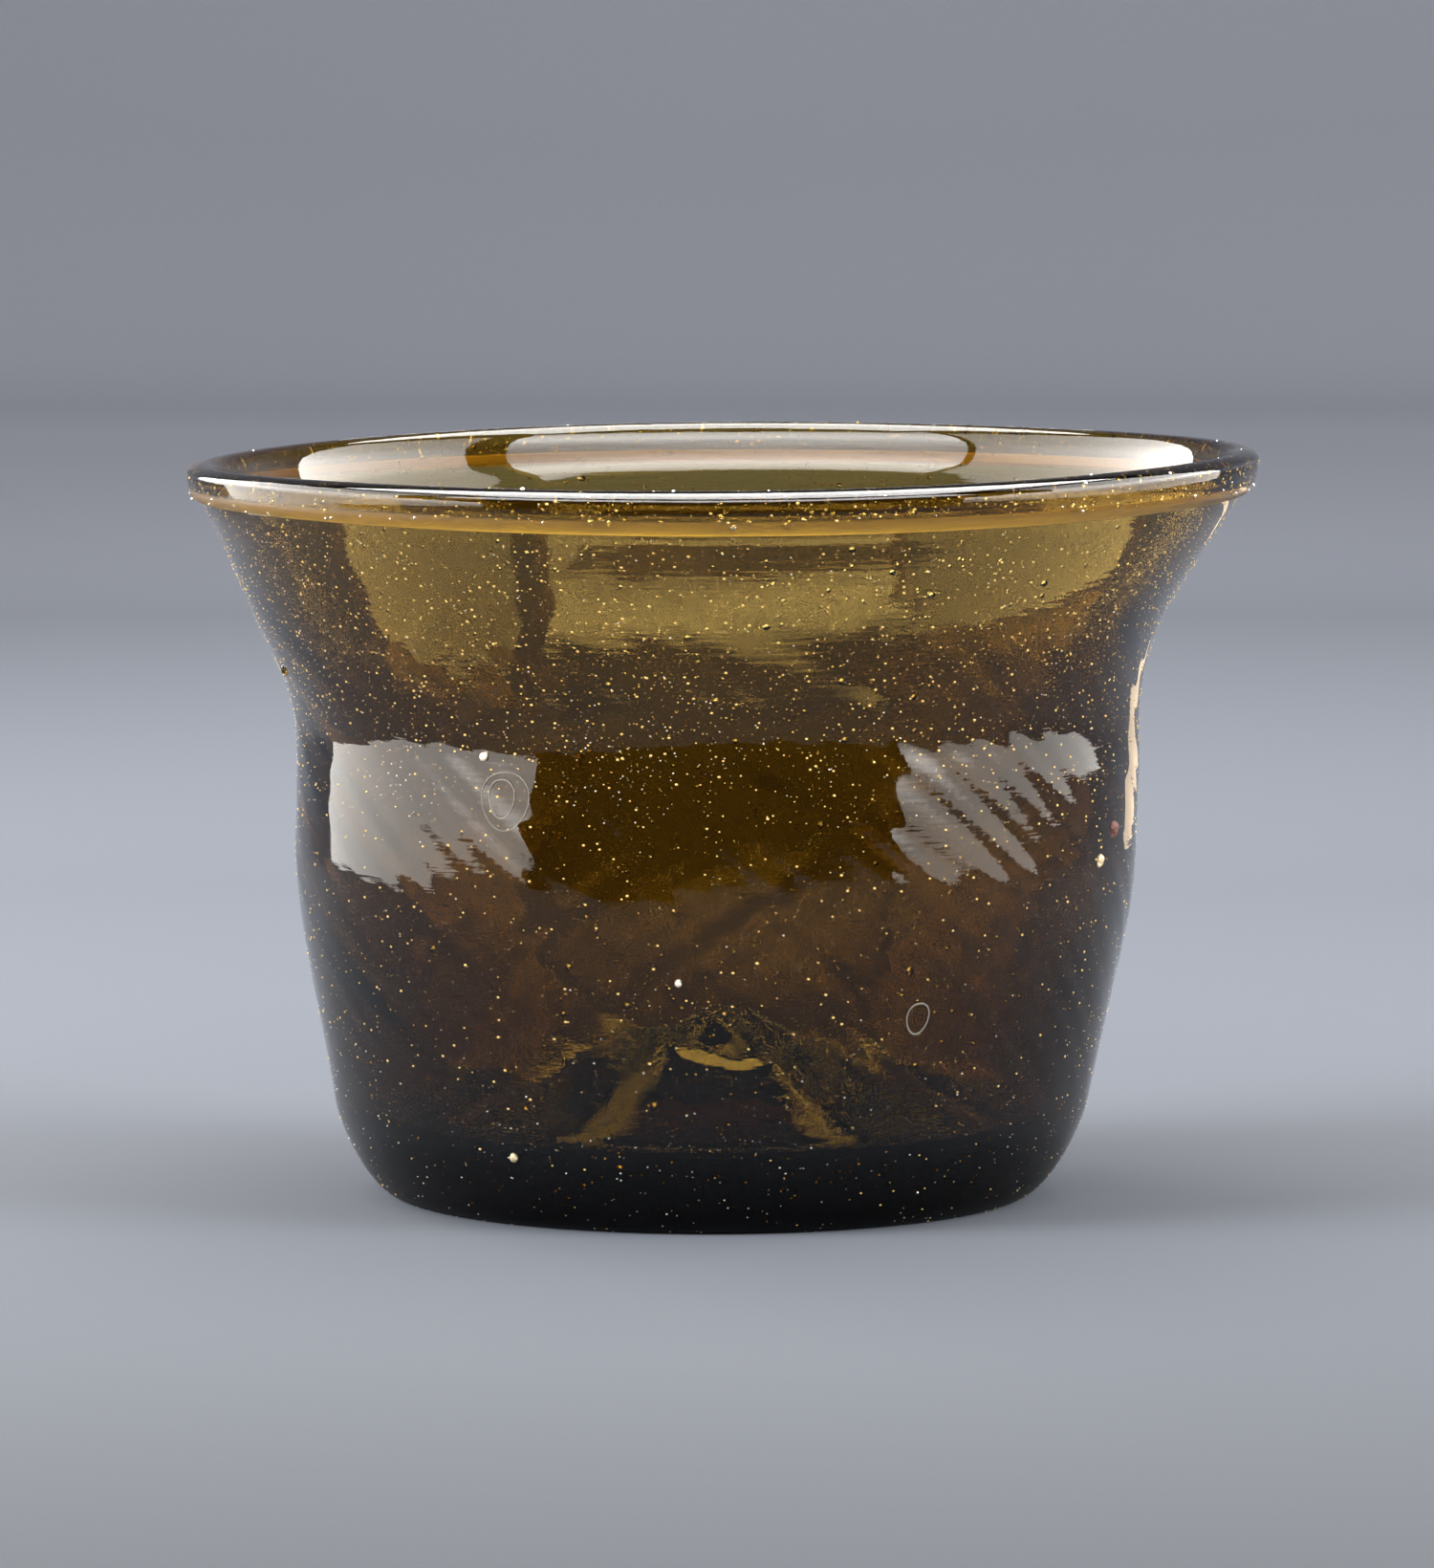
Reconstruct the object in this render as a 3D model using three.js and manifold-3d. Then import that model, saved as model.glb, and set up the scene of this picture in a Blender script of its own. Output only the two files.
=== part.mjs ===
// Free-blown glass bowl with a flaring mouth, a rim folded outward and a pushed-in base.
// Millimetres, +Z up. The bowl stands on z = 0, and the origin lies under the middle of its mouth.
// Seen from the front, along +Y, +X is to the right. Angles round the bowl count from the front,
// positive towards +X.

import * as THREE from 'three'
import { mergeVertices } from 'three/addons/utils/BufferGeometryUtils.js'
import Module from 'manifold-3d'

const wasm = await Module()
wasm.setup()

// Outer outline of the wall: radius and height of each station, and the slope of the outline there,
// in degrees up from level. The side stands upright for a while above the waist, up to the neck.
// The flare ends at the lip, just inside and below the crest.
const foot_radius = 31.2
const heel_radius = 38.4
const heel_height = 10
const heel_slope = 79.5
const waist_radius = 42.75
const waist_height = 36.5
const waist_slope = 90
const upright_height = 11
const crest_radius = 52.4
const crest_height = 75.4
const lip_inset = 0.9
const lip_drop = 5.9
const lip_slope = 61

// The worn ring that the bowl stands on, and the base pushed up inside it
const ring_width = 2
const kick_height = 12
const kick_foot_slope = -40

// Thickness of the glass, square to the outer face
const lip_wall = 1.9
const waist_wall = 2.8
const heel_wall = 3.8
const foot_wall = 7.5
const kick_wall = 6

// The lap of the rim: turned out and down against the wall, with a rounded free edge below
const fold_thickness = 1.7
const fold_radius = crest_radius + fold_thickness
const fold_height = 4.4
const fold_fullest_drop = 1.7
const fold_edge_radius = 0.4
const fold_edge_slope = 215
const fold_uneven_share = 0.06
const fold_side_share = 0.11
const seam_gap = 0.3

// Disc of glass that the pontil rod left under the base
const wad_radius = 8
const wad_thickness = 1.7
const wad_seam = 0.3
const wad_ragged_share = 0.09

// Irregularity of hand work: the foot stands off to the left of the mouth, the flare sags to the left
// below the rim, and the mouth is tipped up to the right, wavers and is slightly oval
const foot_lean = -1.35
const flare_sag = 1
const flare_sag_height = 59
const flare_sag_reach = 7.5
const mouth_rise = 0.7
const mouth_waver = 0.2
const mouth_oval = 0.25

// Foreign grains, seated in open pits in the outer face. Each lies at an angle round the bowl and at
// a share of its height. Its width round the wall, height up it and depth into it are shares of the
// usual grain width.
const grain_width = 1
const pit_gap = 0.1
const grain_shares = [
  { name: 'stone_white_high', angle: -32.6, up: 0.637, width: 0.9, tall: 0.9, deep: 0.8, colour: 0xd9d2c0 },
  { name: 'stone_white_low', angle: -4.9, up: 0.347, width: 0.8, tall: 0.8, deep: 0.7, colour: 0xe4dfd2 },
  { name: 'stone_cream', angle: -31.2, up: 0.103, width: 1, tall: 0.9, deep: 0.8, colour: 0xc9b48c },
  { name: 'chip_pale', angle: 64.3, up: 0.476, width: 1.6, tall: 1.4, deep: 0.9, colour: 0xb9ad98 },
  { name: 'chip_red', angle: 69, up: 0.513, width: 2.2, tall: 2, deep: 1.1, colour: 0x4a2014 },
  { name: 'knot_amber', angle: -77.8, up: 0.723, width: 1.3, tall: 1.4, deep: 1.1, colour: 0xa8782e },
]

// How fine the faces are
const round_segments = 56
const wad_segments = 28
const heel_segments = 5
const side_segments = 5
const upright_segments = 2
const flare_segments = 6
const lip_segments = 3
const crest_segments = 4
const floor_segments = 7
const kick_segments = 6
const fold_segments = 5
const edge_segments = 2

// How far each curve of the outline holds its end slopes, as a share of its chord
const heel_pull_share = 0.26
const side_pull_share = 0.45
const upright_pull_share = 0.27
const flare_pull_share = 0.4
const round_pull_share = 0.38
const kick_pull_share = 0.36
const trough_pull_share = 0.12
const dome_pull_share = 0.13

function station(radius, height, slope) {
  return { radius, height, slope: THREE.MathUtils.degToRad(slope) }
}

// The point of the inner face that lies opposite a station of the outer face
function inward(outer, wall) {
  return {
    radius: outer.radius - wall * Math.sin(outer.slope),
    height: outer.height + wall * Math.cos(outer.slope),
    slope: outer.slope,
  }
}

// The same station, passed the other way
function reversed(one) {
  return { ...one, slope: one.slope + Math.PI }
}

// A curve between two stations that keeps the slope of each at its end
function span(from, to, pull_share, count, far_pull_share = pull_share) {
  const chord = Math.hypot(to.radius - from.radius, to.height - from.height)
  const near = chord * pull_share
  const far = chord * far_pull_share
  const curve = new THREE.CubicBezierCurve(
    new THREE.Vector2(from.radius, from.height),
    new THREE.Vector2(from.radius + near * Math.cos(from.slope), from.height + near * Math.sin(from.slope)),
    new THREE.Vector2(to.radius - far * Math.cos(to.slope), to.height - far * Math.sin(to.slope)),
    new THREE.Vector2(to.radius, to.height),
  )
  return curve.getPoints(count)
}

// Curves laid end to end, without the points that two of them share
function outline(...spans) {
  return spans.flatMap((points, i) => (i === 0 ? points : points.slice(1)))
}

// Radius of a rising outline at a height
function radius_at(points, height) {
  const above = points.findIndex((p) => p.y >= height)
  const upper = points[Math.max(1, above < 0 ? points.length - 1 : above)]
  const lower = points[points.indexOf(upper) - 1]
  return lower.x + ((upper.x - lower.x) * (height - lower.y)) / (upper.y - lower.y)
}

// Height of the base's underside at a radius
function kick_underside(points, radius) {
  const beyond = points.findIndex((p) => p.x >= radius)
  const outer = points[Math.max(1, beyond < 0 ? points.length - 1 : beyond)]
  const inner = points[points.indexOf(outer) - 1]
  return inner.y + ((outer.y - inner.y) * (radius - inner.x)) / (outer.x - inner.x)
}

// Moves a point of a true round bowl to where the hand-made one has it
function by_hand(point) {
  const share = point.z / crest_height
  const angle = Math.atan2(point.y, point.x)
  const radius = Math.hypot(point.x, point.y)
  const fullest_share = 1 - fold_fullest_drop / crest_height
  const rise = mouth_rise * (point.x / fold_radius) * share ** 3
  const waver = mouth_waver * Math.cos(3 * angle + 1) * (radius / fold_radius) * share ** 8
  const oval = mouth_oval * Math.cos(2 * angle) * (radius / fold_radius) * share ** 3
  const near_sag = Math.exp(-(((point.z - flare_sag_height) / flare_sag_reach) ** 2))
  return new THREE.Vector3(
    point.x + oval * Math.cos(angle) - flare_sag * near_sag + foot_lean * (1 - share / fullest_share),
    point.y + oval * Math.sin(angle),
    point.z + rise + waver,
  )
}

// A geometry whose corners are shared, without flat triangles and with its faces pointing out
function closed(geometry) {
  geometry.deleteAttribute('normal')
  geometry.deleteAttribute('uv')
  const merged = mergeVertices(geometry, 1e-4)
  const corners = merged.index.array
  const place = merged.attributes.position
  const kept = []
  const [a, b, c] = [new THREE.Vector3(), new THREE.Vector3(), new THREE.Vector3()]
  let volume = 0
  for (let i = 0; i < corners.length; i += 3) {
    const [p, q, r] = [corners[i], corners[i + 1], corners[i + 2]]
    if (p === q || q === r || r === p) continue
    kept.push(p, q, r)
    volume += a.fromBufferAttribute(place, p).dot(
      b.fromBufferAttribute(place, q).cross(c.fromBufferAttribute(place, r)),
    )
  }
  merged.setIndex(volume < 0 ? kept.reverse() : kept)
  return merged
}

// The solid that an outline of radii and heights sweeps round the bowl's axis. Its last line of
// corners is laid exactly on its first.
function turned(points, count) {
  const geometry = new THREE.LatheGeometry(points, count)
  const place = geometry.attributes.position
  const last = points.length * count
  points.forEach((_, i) => place.setXYZ(last + i, place.getX(i), place.getY(i), place.getZ(i)))
  geometry.rotateX(Math.PI / 2)
  return closed(geometry)
}

function move_corners(geometry, move) {
  const place = geometry.attributes.position
  for (let i = 0; i < place.count; i++) {
    const moved = move(new THREE.Vector3().fromBufferAttribute(place, i))
    place.setXYZ(i, moved.x, moved.y, moved.z)
  }
  return geometry
}

function to_manifold(geometry) {
  return new wasm.Manifold(
    new wasm.Mesh({
      numProp: 3,
      vertProperties: new Float32Array(geometry.attributes.position.array),
      triVerts: new Uint32Array(geometry.index.array),
    }),
  )
}

function from_manifold(solid) {
  const cut = solid.getMesh()
  const geometry = new THREE.BufferGeometry()
  geometry.setAttribute('position', new THREE.BufferAttribute(cut.vertProperties, 3))
  geometry.setIndex(new THREE.BufferAttribute(cut.triVerts, 1))
  return geometry
}

// Stations of the outer face, from the standing ring up to the crest
const foot = station(foot_radius, 0, 0)
const heel = station(heel_radius, heel_height, heel_slope)
const waist = station(waist_radius, waist_height, waist_slope)
const neck = station(waist_radius, waist_height + upright_height, waist_slope)
const lip = station(crest_radius - lip_inset, crest_height - lip_drop, lip_slope)
const seam_top = station(crest_radius, crest_height, 90)
const outer_face = outline(
  span(foot, heel, heel_pull_share, heel_segments),
  span(heel, waist, side_pull_share, side_segments, upright_pull_share),
  span(waist, neck, round_pull_share, upright_segments),
  span(neck, lip, upright_pull_share, flare_segments, flare_pull_share),
  span(lip, seam_top, round_pull_share, lip_segments),
)

// The underside of the pushed-in base, from the axis out to the standing ring
const kick_top = station(0, kick_height, 0)
const kick_foot = station(foot_radius - ring_width, 0, kick_foot_slope)
const underside = span(kick_top, kick_foot, kick_pull_share, kick_segments)

// The wall: underside, outer face, rounded crest, inner face and the floor over the kick
function bowl_wall() {
  const crest = { ...seam_top, slope: Math.PI }
  const lip_inside = reversed(inward(lip, lip_wall))
  const neck_inside = reversed(inward(neck, waist_wall))
  const waist_inside = reversed(inward(waist, waist_wall))
  const heel_inside = reversed(inward(heel, heel_wall))
  const trough = station(foot_radius - ring_width / 2, foot_wall, 180)
  const floor_top = station(0, kick_height + kick_wall, 180)
  const inner_face = outline(
    span(crest, lip_inside, round_pull_share, crest_segments),
    span(lip_inside, neck_inside, flare_pull_share, flare_segments, upright_pull_share),
    span(neck_inside, waist_inside, round_pull_share, upright_segments),
    span(waist_inside, heel_inside, upright_pull_share, side_segments, side_pull_share),
    span(heel_inside, trough, round_pull_share, crest_segments),
    span(trough, floor_top, trough_pull_share, floor_segments, dome_pull_share),
  )
  return move_corners(turned([...underside, ...outer_face, ...inner_face.slice(1)], round_segments), by_hand)
}

// The lap of the rim, a ring that hangs from the crest and lies against the wall
function rim_fold() {
  const bottom = crest_height - fold_height
  const seam_low = bottom + fold_edge_radius
  const against = (height) => radius_at(outer_face, height) + seam_gap
  const top = station(seam_top.radius + seam_gap, crest_height, 0)
  const fullest = station(fold_radius, crest_height - fold_fullest_drop, -90)
  const edge = station(against(bottom) + fold_edge_radius, bottom, fold_edge_slope)
  const inside = station(against(seam_low), seam_low, 90)
  const inner_face = []
  for (let i = 1; i < fold_segments; i++) {
    const height = seam_low + ((crest_height - seam_low) * i) / fold_segments
    inner_face.push(new THREE.Vector2(against(height), height))
  }
  const section = outline(
    span(top, fullest, round_pull_share, fold_segments),
    span(fullest, edge, round_pull_share, fold_segments),
    span(edge, inside, round_pull_share, edge_segments),
  )
  const ring = turned([...section, ...inner_face, section[0].clone()], round_segments)
  return move_corners(ring, (p) => by_hand(uneven_lap(p)))
}

// The lap hangs less low at its two sides, least on the left, and still lies along the wall
function uneven_lap(point) {
  const angle = Math.atan2(point.y, point.x)
  const uneven = fold_uneven_share * Math.cos(angle) - fold_side_share * Math.cos(angle) ** 2
  const hang = (crest_height - point.z) * (1 + uneven)
  const height = crest_height - hang
  const out = radius_at(outer_face, height) - radius_at(outer_face, point.z)
  return new THREE.Vector3(point.x + out * Math.cos(angle), point.y + out * Math.sin(angle), height)
}

// The pontil's wad, a ragged disc that follows the underside of the base
function pontil_wad() {
  const section_shares = [[0, 1], [0.35, 1], [0.7, 1], [0.95, 1], [1, 0.6], [0.85, 0.15], [0.45, 0.05], [0, 0.2]]
  const unit = turned(section_shares.map(([out, up]) => new THREE.Vector2(out, up)), wad_segments)
  return move_corners(unit, (p) => {
    const angle = Math.atan2(p.y, p.x)
    const ragged = Math.cos(3 * angle + 0.6) + 0.6 * Math.cos(7 * angle) + 0.4 * Math.cos(11 * angle + 2)
    const out = Math.hypot(p.x, p.y)
    const radius = wad_radius * out * (1 + wad_ragged_share * ragged * out)
    const broken = 1 + wad_ragged_share * ragged * out
    const height = kick_underside(underside, radius) - wad_seam - wad_thickness * (1 - p.z) * broken
    return by_hand(new THREE.Vector3(radius * Math.cos(angle), radius * Math.sin(angle), height))
  })
}

// An irregular grain with its three widths grown by a margin. Each one has its own lumps.
function grain_solid(grain, lumps, margin) {
  const lumpy_share = 0.12
  const unit = closed(new THREE.IcosahedronGeometry(1, 1))
  return move_corners(unit, (p) => {
    const swell = 1 + lumpy_share * (Math.sin(3 * p.x + lumps) + Math.cos(4 * p.y - lumps) * Math.sin(3 * p.z))
    return new THREE.Vector3(
      p.x * ((swell * grain.width * grain_width) / 2 + margin),
      p.y * ((swell * grain.deep * grain_width) / 2 + margin),
      p.z * ((swell * grain.tall * grain_width) / 2 + margin),
    )
  })
}

// Where a grain sits: its middle just under the outer face, its width along the wall and its
// depth across it
function grain_place(grain) {
  const sunk_share = 0.15
  const step = grain.tall * grain_width
  const height = grain.up * crest_height
  const radius = radius_at(outer_face, height)
  const above = radius_at(outer_face, height + step)
  const tilt = Math.atan2(above - radius, step)
  const turn = THREE.MathUtils.degToRad(grain.angle)
  const middle = radius - sunk_share * grain.deep * grain_width
  const at = by_hand(new THREE.Vector3(middle * Math.sin(turn), -middle * Math.cos(turn), height))
  return { at, turn, tilt }
}

function grain_mesh(grain, lumps, margin) {
  const { at, turn, tilt } = grain_place(grain)
  const mesh = new THREE.Mesh(grain_solid(grain, lumps, margin), glass_free_finish(grain.colour))
  mesh.name = grain.name
  mesh.rotation.set(tilt, 0, turn, 'ZYX')
  mesh.position.copy(at)
  mesh.updateMatrix()
  return mesh
}

function glass_finish(colour) {
  return new THREE.MeshStandardMaterial({ color: colour, roughness: 0.08, metalness: 0 })
}

function glass_free_finish(colour) {
  return new THREE.MeshStandardMaterial({ color: colour, roughness: 0.7, metalness: 0 })
}

function piece(name, geometry, material) {
  const mesh = new THREE.Mesh(geometry, material)
  mesh.name = name
  return mesh
}

// The wall with an open pit under each grain
function pitted_wall() {
  let wall = to_manifold(bowl_wall())
  grain_shares.forEach((grain, i) => {
    const pit = grain_mesh(grain, i, pit_gap)
    wall = wall.subtract(to_manifold(pit.geometry.clone().applyMatrix4(pit.matrix)))
  })
  return from_manifold(wall)
}

const group = new THREE.Group()
group.add(piece('bowl_wall', pitted_wall(), glass_finish(0x5a4418)))
group.add(piece('rim_fold', rim_fold(), glass_finish(0x6b531e)))
group.add(piece('pontil_wad', pontil_wad(), glass_finish(0x4a3712)))
grain_shares.forEach((grain, i) => group.add(grain_mesh(grain, i, 0)))

export default group
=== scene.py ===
"""Free-blown glass bowl with a folded rim: fine surface, seed, stones, finishes and studio.

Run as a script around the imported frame. Everything is in metres, +Z up, in the frame's own place.
"""

import math

import bmesh
import bpy
import numpy as np
from bpy.props import FloatProperty, FloatVectorProperty, PointerProperty
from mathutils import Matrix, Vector, noise


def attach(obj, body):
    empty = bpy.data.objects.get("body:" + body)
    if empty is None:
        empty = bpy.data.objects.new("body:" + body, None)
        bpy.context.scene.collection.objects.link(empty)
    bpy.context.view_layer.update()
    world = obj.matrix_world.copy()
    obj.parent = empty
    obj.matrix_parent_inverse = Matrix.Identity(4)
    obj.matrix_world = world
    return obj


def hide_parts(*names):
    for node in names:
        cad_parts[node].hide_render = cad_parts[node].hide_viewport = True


bl_info = {
    "name": "Free-blown glass bowl",
    "version": (1, 0, 0),
    "blender": (4, 5, 0),
    "location": "View3D > Sidebar > Glass Bowl",
    "description": "Builds the looks of a free-blown amber glass bowl around its packed solids",
    "category": "Object",
}

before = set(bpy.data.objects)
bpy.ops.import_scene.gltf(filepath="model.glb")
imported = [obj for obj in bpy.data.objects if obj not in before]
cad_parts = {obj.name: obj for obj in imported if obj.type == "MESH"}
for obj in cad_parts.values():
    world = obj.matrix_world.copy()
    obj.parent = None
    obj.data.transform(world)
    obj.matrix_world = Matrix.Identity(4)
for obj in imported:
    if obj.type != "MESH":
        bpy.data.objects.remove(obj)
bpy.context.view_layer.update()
MM = 0.001
BODY = "root"


def linear(hex_colour):
    """The linear colour of an sRGB hex value such as 'C8A050'."""
    shares = [int(hex_colour[i : i + 2], 16) / 255 for i in (0, 2, 4)]
    return [s / 12.92 if s <= 0.04045 else ((s + 0.055) / 1.055) ** 2.4 for s in shares]


# User settings


def length(name, description, millimetres):
    """A length that a user may change, given in millimetres and kept in metres."""
    return FloatProperty(
        name=name, description=description, default=millimetres * MM, unit="LENGTH", precision=5
    )


def tint(name, description, hex_colour):
    """A colour that a user may change, given as sRGB hex."""
    return FloatVectorProperty(
        name=name, description=description, default=linear(hex_colour), subtype="COLOR", min=0, max=1
    )


def number(name, description, value):
    """A plain number that a user may change."""
    return FloatProperty(name=name, description=description, default=value)


class BowlSizes(bpy.types.PropertyGroup):
    """Sizes of the blown wall, its lap and its base."""

    foot_radius: length("Foot radius", "Outer radius of the worn standing ring", 31.2)
    ring_width: length("Ring width", "Width of the worn standing ring", 2)
    heel_radius: length("Heel radius", "Radius where the heel's curve meets the side", 38.4)
    heel_height: length("Heel height", "Height where the heel's curve meets the side", 10)
    waist_radius: length("Waist radius", "Radius where the side stands upright", 42.75)
    waist_height: length("Waist height", "Height where the side begins to stand upright", 36.5)
    upright_height: length("Upright height", "How far the side stands upright, up to the neck", 11)
    crest_radius: length("Crest radius", "Radius of the rim's crest, where lap and wall meet", 52.4)
    crest_height: length("Crest height", "Mean height of the rim's crest", 75.4)
    lip_inset: length("Lip inset", "How far the flare's end lies inside the crest", 0.9)
    lip_drop: length("Lip drop", "How far the flare's end lies below the crest", 5.9)
    lip_wall: length("Lip wall", "Thickness of the glass at the lip", 1.9)
    waist_wall: length("Waist wall", "Thickness of the glass at the waist", 2.8)
    heel_wall: length("Heel wall", "Thickness of the glass at the heel", 3.8)
    foot_wall: length("Foot wall", "Thickness of the glass over the standing ring", 7.5)
    kick_height: length("Kick height", "Height of the pushed-in base inside the ring", 12)
    kick_wall: length("Kick wall", "Thickness of the glass at the top of the kick", 6)
    fold_thickness: length("Lap thickness", "How far the lap stands out from the crest", 1.7)
    fold_height: length("Lap height", "Height of the lap in front", 4.4)
    seam_gap: length("Seam gap", "Open seam behind the lap's free edge", 0.14)
    wad_radius: length("Wad radius", "Radius of the pontil's wad", 8)
    wad_thickness: length("Wad thickness", "Thickness of the pontil's wad", 1.7)


class GlassLook(bpy.types.PropertyGroup):
    """Colours and fine surface of the glass and of what lies in it."""

    glass_tint: tint("Glass tint", "Colour that the glass lets through", "D3C138")
    glass_density: number("Glass density", "How strongly the glass absorbs, per metre", 1170)
    ripple: length("Ripple", "Height of the spiral ripples on the body", 0.045)
    fine_seed: number("Fine seed", "Fine bubbles per square metre of wall", 190000)
    middle_seed: number("Middling seed", "Middling bubbles per square metre of wall", 130000)
    coarse_seed: number("Coarse seed", "Coarse bubbles per square metre of wall", 12000)
    lap_seed: number("Lap seed", "Bubbles per square metre of lap", 700000)
    white_stone: tint("White stone", "Colour of the white grains", "C4BCAB")
    cream_stone: tint("Cream stone", "Colour of the cream grains", "C8B48E")
    red_stone: tint("Red stone", "Colour of the red-brown grain", "5A2A1A")
    lime: tint("Lime", "Colour of the dried lime on the glass", "D2CCBE")
    # Warm lime is dried lime partly painted as glint: its gold stands in for light that seed bubbles catch
    # in the amber glass.
    lime_and_painted_glint: tint("Warm lime", "Colour of the lime that the glass stains", "D9B566")
    film: tint("Film", "Colour of the lime rims that drops left", "6E6A62")
    earth: tint("Earth", "Colour of the fine earth in the lap's seam", "F0DDB0")
    pale_specks: number("Pale specks", "Pale specks per square metre of the outer face", 80000)
    # Warm specks and lap specks are partly lime and partly painted glints of the seed.
    warm_specks: number("Warm specks", "Warm specks per square metre of the outer face", 420000)
    lap_specks: number("Lap specks", "Warm specks per square metre of the lap's face", 800000)


class StudioLook(bpy.types.PropertyGroup):
    """Floor, backdrop, lights and camera."""

    # The paper's grade, darker towards its front, is painted shade.
    floor_colour: tint("Paper", "Colour of the paper, graded darker towards its front", "A4A7B1")
    front_light: number("Front light", "Radiance of the silk overhead in front", 13.2)
    side_light: number("Side light", "Radiance of the side silks", 9.8)
    top_light: number("Top light", "Radiance of the box above", 13)
    fill_light: number("Fill light", "Radiance of the ceiling light", 0.6)
    strip_light: number("Strip light", "Radiance of the strip lamp at the left", 44)
    card_light: number("Card light", "Radiance of the warm card", 2.1)
    camera_distance: length("Camera distance", "From the lens to the bowl's axis", 1100)
    camera_height: length("Camera height", "Height of the lens over the floor", 146)
    lens: FloatProperty(name="Lens", description="Focal length of the camera", default=249.4, unit="CAMERA")


# Outline of the bowl: the same stations and curves as the solids have

HEEL_SLOPE = 79.5
WAIST_SLOPE = 90
LIP_SLOPE = 61
KICK_FOOT_SLOPE = -40
HEEL_PULL = 0.26
SIDE_PULL = 0.45
UPRIGHT_PULL = 0.27
FLARE_PULL = 0.4
ROUND_PULL = 0.38
KICK_PULL = 0.36
TROUGH_PULL = 0.12
DOME_PULL = 0.07

# Steps along each curve of the wall, corners round the bowl, and the four faces of the wall

HEEL_STEPS = 18
SIDE_STEPS = 38
UPRIGHT_STEPS = 18
FLARE_STEPS = 34
LIP_STEPS = 12
CREST_STEPS = 16
TROUGH_STEPS = 18
KICK_STEPS = 32
MIDDLE_POINTS = 24
COLUMNS = 300
OUTER, INNER, UNDER, DOME = 0, 1, 2, 3

# The lap: a flat front from its shoulder to its belly, and a lower edge dulled by wear and earth

SHOULDER_PULL = 0.3
SHOULDER_SLOPE = -88
BELLY_SLOPE = -100
FOLD_EDGE_SLOPE = 215
FOLD_FULLEST_DROP = 1.7 * MM
FOLD_SHOULDER_DROP = 1.05 * MM
FOLD_BELLY_DROP = 3.1 * MM
FOLD_BELLY_INSET = 0.25 * MM
FOLD_EDGE_RADIUS = 0.7 * MM
FOLD_FUSED = -0.02 * MM
FOLD_FUSED_SHARE = 0.3
FOLD_UNEVEN = 0.06
FOLD_SIDE = 0.11
SHOULDER_STEPS = 14
FRONT_STEPS = 6
BELLY_STEPS = 14
EDGE_STEPS = 6
INSIDE_POINTS = 18
LAP_FACE_POINTS = 10
LAP_SHEET_POINTS = 12
LAP_SHEET_MARGINS = (0.8 * MM, 0.5 * MM)
LAP_SHEET_DEPTH = 0.8
LAP_DULL_DROP = 3.3 * MM
LAP_DULL_REACH = 2 * MM
LAP_DULL_FADE = 0.8 * MM
LAP_DULL = 0.5
EARTH_DROPS = (3.0 * MM, 4.1 * MM)
EARTH_SHARES = (0.3, 0.7)
EARTH_POINTS = 6
EARTH_DARK_SHARE = 0.75

# What the hand made of the round bowl

FOOT_LEAN = -1.35 * MM
FLARE_SAG = 1 * MM
FLARE_SAG_HEIGHT = 59 * MM
FLARE_SAG_REACH = 7.5 * MM
MOUTH_RISE = 0.7 * MM
MOUTH_RISE_POWER = 3
MOUTH_WAVER = 0.2 * MM
MOUTH_WAVER_POWER = 8
MOUTH_WAVER_TURNS = 3
MOUTH_WAVER_TURN = 1
MOUTH_OVAL = 0.25 * MM
NECK_DENT = 0.25 * MM
NECK_DENT_BAND = (48.5 * MM, 54 * MM, 0.8 * MM)
DOME_RING_RADIUS = 8.8 * MM
DOME_RING_SHIFT = 1.8 * MM
DOME_RING_WIDTH = 0.95 * MM
DOME_RING_HEIGHT = 0.24 * MM
DOME_RING_SHARE = 0.7
DOME_RING_SWING = 0.3
DOME_RING_TURN = 0.4
DOME_RING_CLEAR = 2 * MM

# Waves of the surface: a random seed, turns round the bowl, and the millimetres up it of one wave.
# The shares are those of the ripple's height.

RIPPLED_BAND = (14 * MM, 58 * MM, 3 * MM)
FINE_BEARING = math.radians(40)
FINE_WAVES = (11, (52, 42, 63), (4.1, 4.8, 3.7))
FINE_SHARE = 0.85
SPIRAL_WAVES = (11, (36, 28, 45), (5.9, 7.0, 5.2))
SPIRAL_SHARE = 0.5
BROAD_WAVES = (5, (3, 5, 8), (34, 27, 21))
BROAD_SHARE = 1.6
INNER_SPIRAL_WAVES = (23, (14, 25, 33), (7.9, 6.2, 5.1))
INNER_SPIRAL_SHARE = 0.9
INNER_BROAD_WAVES = (7, (2, 4, 7), (31, 24, 19))
INNER_BROAD_SHARE = 2.4
WANDER = 1.3
WANDER_TURNS = 3
WANDER_DROP = 9 * MM

# Shares of specks at the body, neck and heel. A band is its foot, its top and how soft its ends are. A
# dusty spot is its bearing in degrees, then its height and spread in millimetres, and its share of specks.

BODY_SHARE = 0.45
NECK_BAND = (44 * MM, 76 * MM, 2 * MM)
HEEL_BAND = (-5 * MM, 17 * MM, 2 * MM)
# Warm specks, partly painted glints of the seed, are fewer at the heel, where few glints show.
WARM_HEEL_SHARE = -0.34
PALE_HEEL_SHARE = 1.6
DUSTY_SPOTS = ((-104, 46.7, 4.5, 14), (-137, 46.5, 3.2, 14), (-75, 47.3, 1, 30), (-95, 52, 6, 4))

# Ring marks, in degrees and millimetres: bearing, height, half width and half height

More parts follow.
